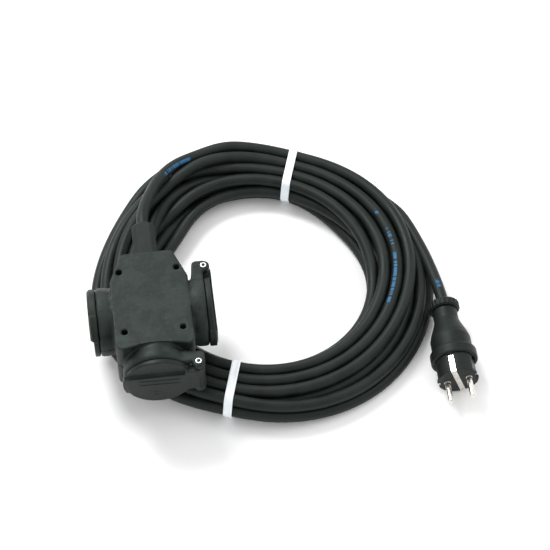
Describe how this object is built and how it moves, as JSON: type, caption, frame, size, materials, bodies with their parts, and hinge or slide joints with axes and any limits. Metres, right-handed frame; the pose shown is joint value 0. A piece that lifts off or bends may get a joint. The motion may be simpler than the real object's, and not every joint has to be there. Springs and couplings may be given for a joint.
{
  "type": "extension lead",
  "caption": "Heavy rubber extension lead: flat coupler with lidded earthed outlets on its sides and end, coiled cable held by ties, and an earthed plug with round pins.",
  "frame": {"origin": "centre of the coupler's flat back face, where the outlets' axes cross", "axes": "+Y along the coupler towards its cable boot, +Z out of its front plate, +X towards the right-hand outlet"},
  "size_m": [0.3265, 0.291, 0.0872],
  "materials": {
    "plate_rubber": "matte moulded rubber",
    "lid_rubber": "matte moulded rubber",
    "boot_rubber": "matte moulded rubber",
    "cable_jacket": "matte rubber with a soft sheen",
    "plug_rubber": "satin moulded rubber",
    "seal_rubber": "soft rubber",
    "socket_plastic": "moulded plastic",
    "insert_plastic": "moulded plastic",
    "brass": "plain stamped brass",
    "zinc": "zinc plated",
    "nickel": "nickel plated",
    "nylon": "natural white nylon",
    "core_brown": "insulation",
    "core_blue": "insulation",
    "core_earth": "insulation"
  },
  "bodies": {
    "root": {"housing_front": "plate_rubber", "housing_back": "plate_rubber", "housing_screws": "zinc", "cable_boot": "boot_rubber", "coupler_cable": "cable_jacket", "cord_clamp": "zinc", "clamp_screws": "zinc", "socket_right": "socket_plastic", "socket_left": "socket_plastic", "socket_end": "socket_plastic", "contact_sleeves": "brass", "line_bar": "brass", "neutral_bar": "brass", "earth_bar": "brass", "earth_clip_right": "brass", "earth_clip_left": "brass", "earth_clip_end": "brass", "terminal_blocks": "brass", "terminal_screws": "zinc", "core_brown": "core_brown", "core_blue": "core_blue", "core_earth": "core_earth", "hinge_pin_right": "zinc", "hinge_pin_left": "zinc", "hinge_pin_end": "zinc", "hinge_spring_right": "zinc", "hinge_spring_left": "zinc", "hinge_spring_end": "zinc", "cord_lead": "cable_jacket", "cord_coil": "cable_jacket", "cord_tail": "cable_jacket", "cable_tie_top": "nylon", "cable_tie_bottom": "nylon", "plug_body": "plug_rubber", "plug_insert": "insert_plastic", "plug_pin_line": "nickel", "plug_pin_neutral": "nickel", "plug_earth_strap": "nickel", "plug_gland_nut": "plug_rubber", "plug_gland_seal": "seal_rubber", "plug_cord_clamp": "zinc", "plug_clamp_screws": "zinc", "plug_terminal_screws": "zinc", "plug_core_brown": "core_brown", "plug_core_blue": "core_blue", "plug_core_earth": "core_earth", "plug_cable": "cable_jacket"},
    "right_lid": {"lid_right": "lid_rubber", "seal_right": "seal_rubber"},
    "left_lid": {"lid_left": "lid_rubber", "seal_left": "seal_rubber"},
    "end_lid": {"lid_end": "lid_rubber", "seal_end": "seal_rubber"}
  },
  "joints": [
    {"name": "right_lid_hinge", "type": "hinge", "parent": "root", "child": "right_lid", "pos_m": [0.0474, 0.034, 0.028], "axis": [0, 0, 1], "range_deg": [0, 120], "stiffness_Nm_per_rad": 0.05, "springref_deg": -28.65},
    {"name": "left_lid_hinge", "type": "hinge", "parent": "root", "child": "left_lid", "pos_m": [-0.0474, 0.02404, 0.00396], "axis": [0, -0.7071, -0.7071], "range_deg": [0, 100], "stiffness_Nm_per_rad": 0.05, "springref_deg": -28.65},
    {"name": "end_lid_hinge", "type": "hinge", "parent": "root", "child": "end_lid", "pos_m": [0.034, -0.0604, 0.028], "axis": [0, 0, 1], "range_deg": [0, 120], "stiffness_Nm_per_rad": 0.05, "springref_deg": -28.65}
  ]
}
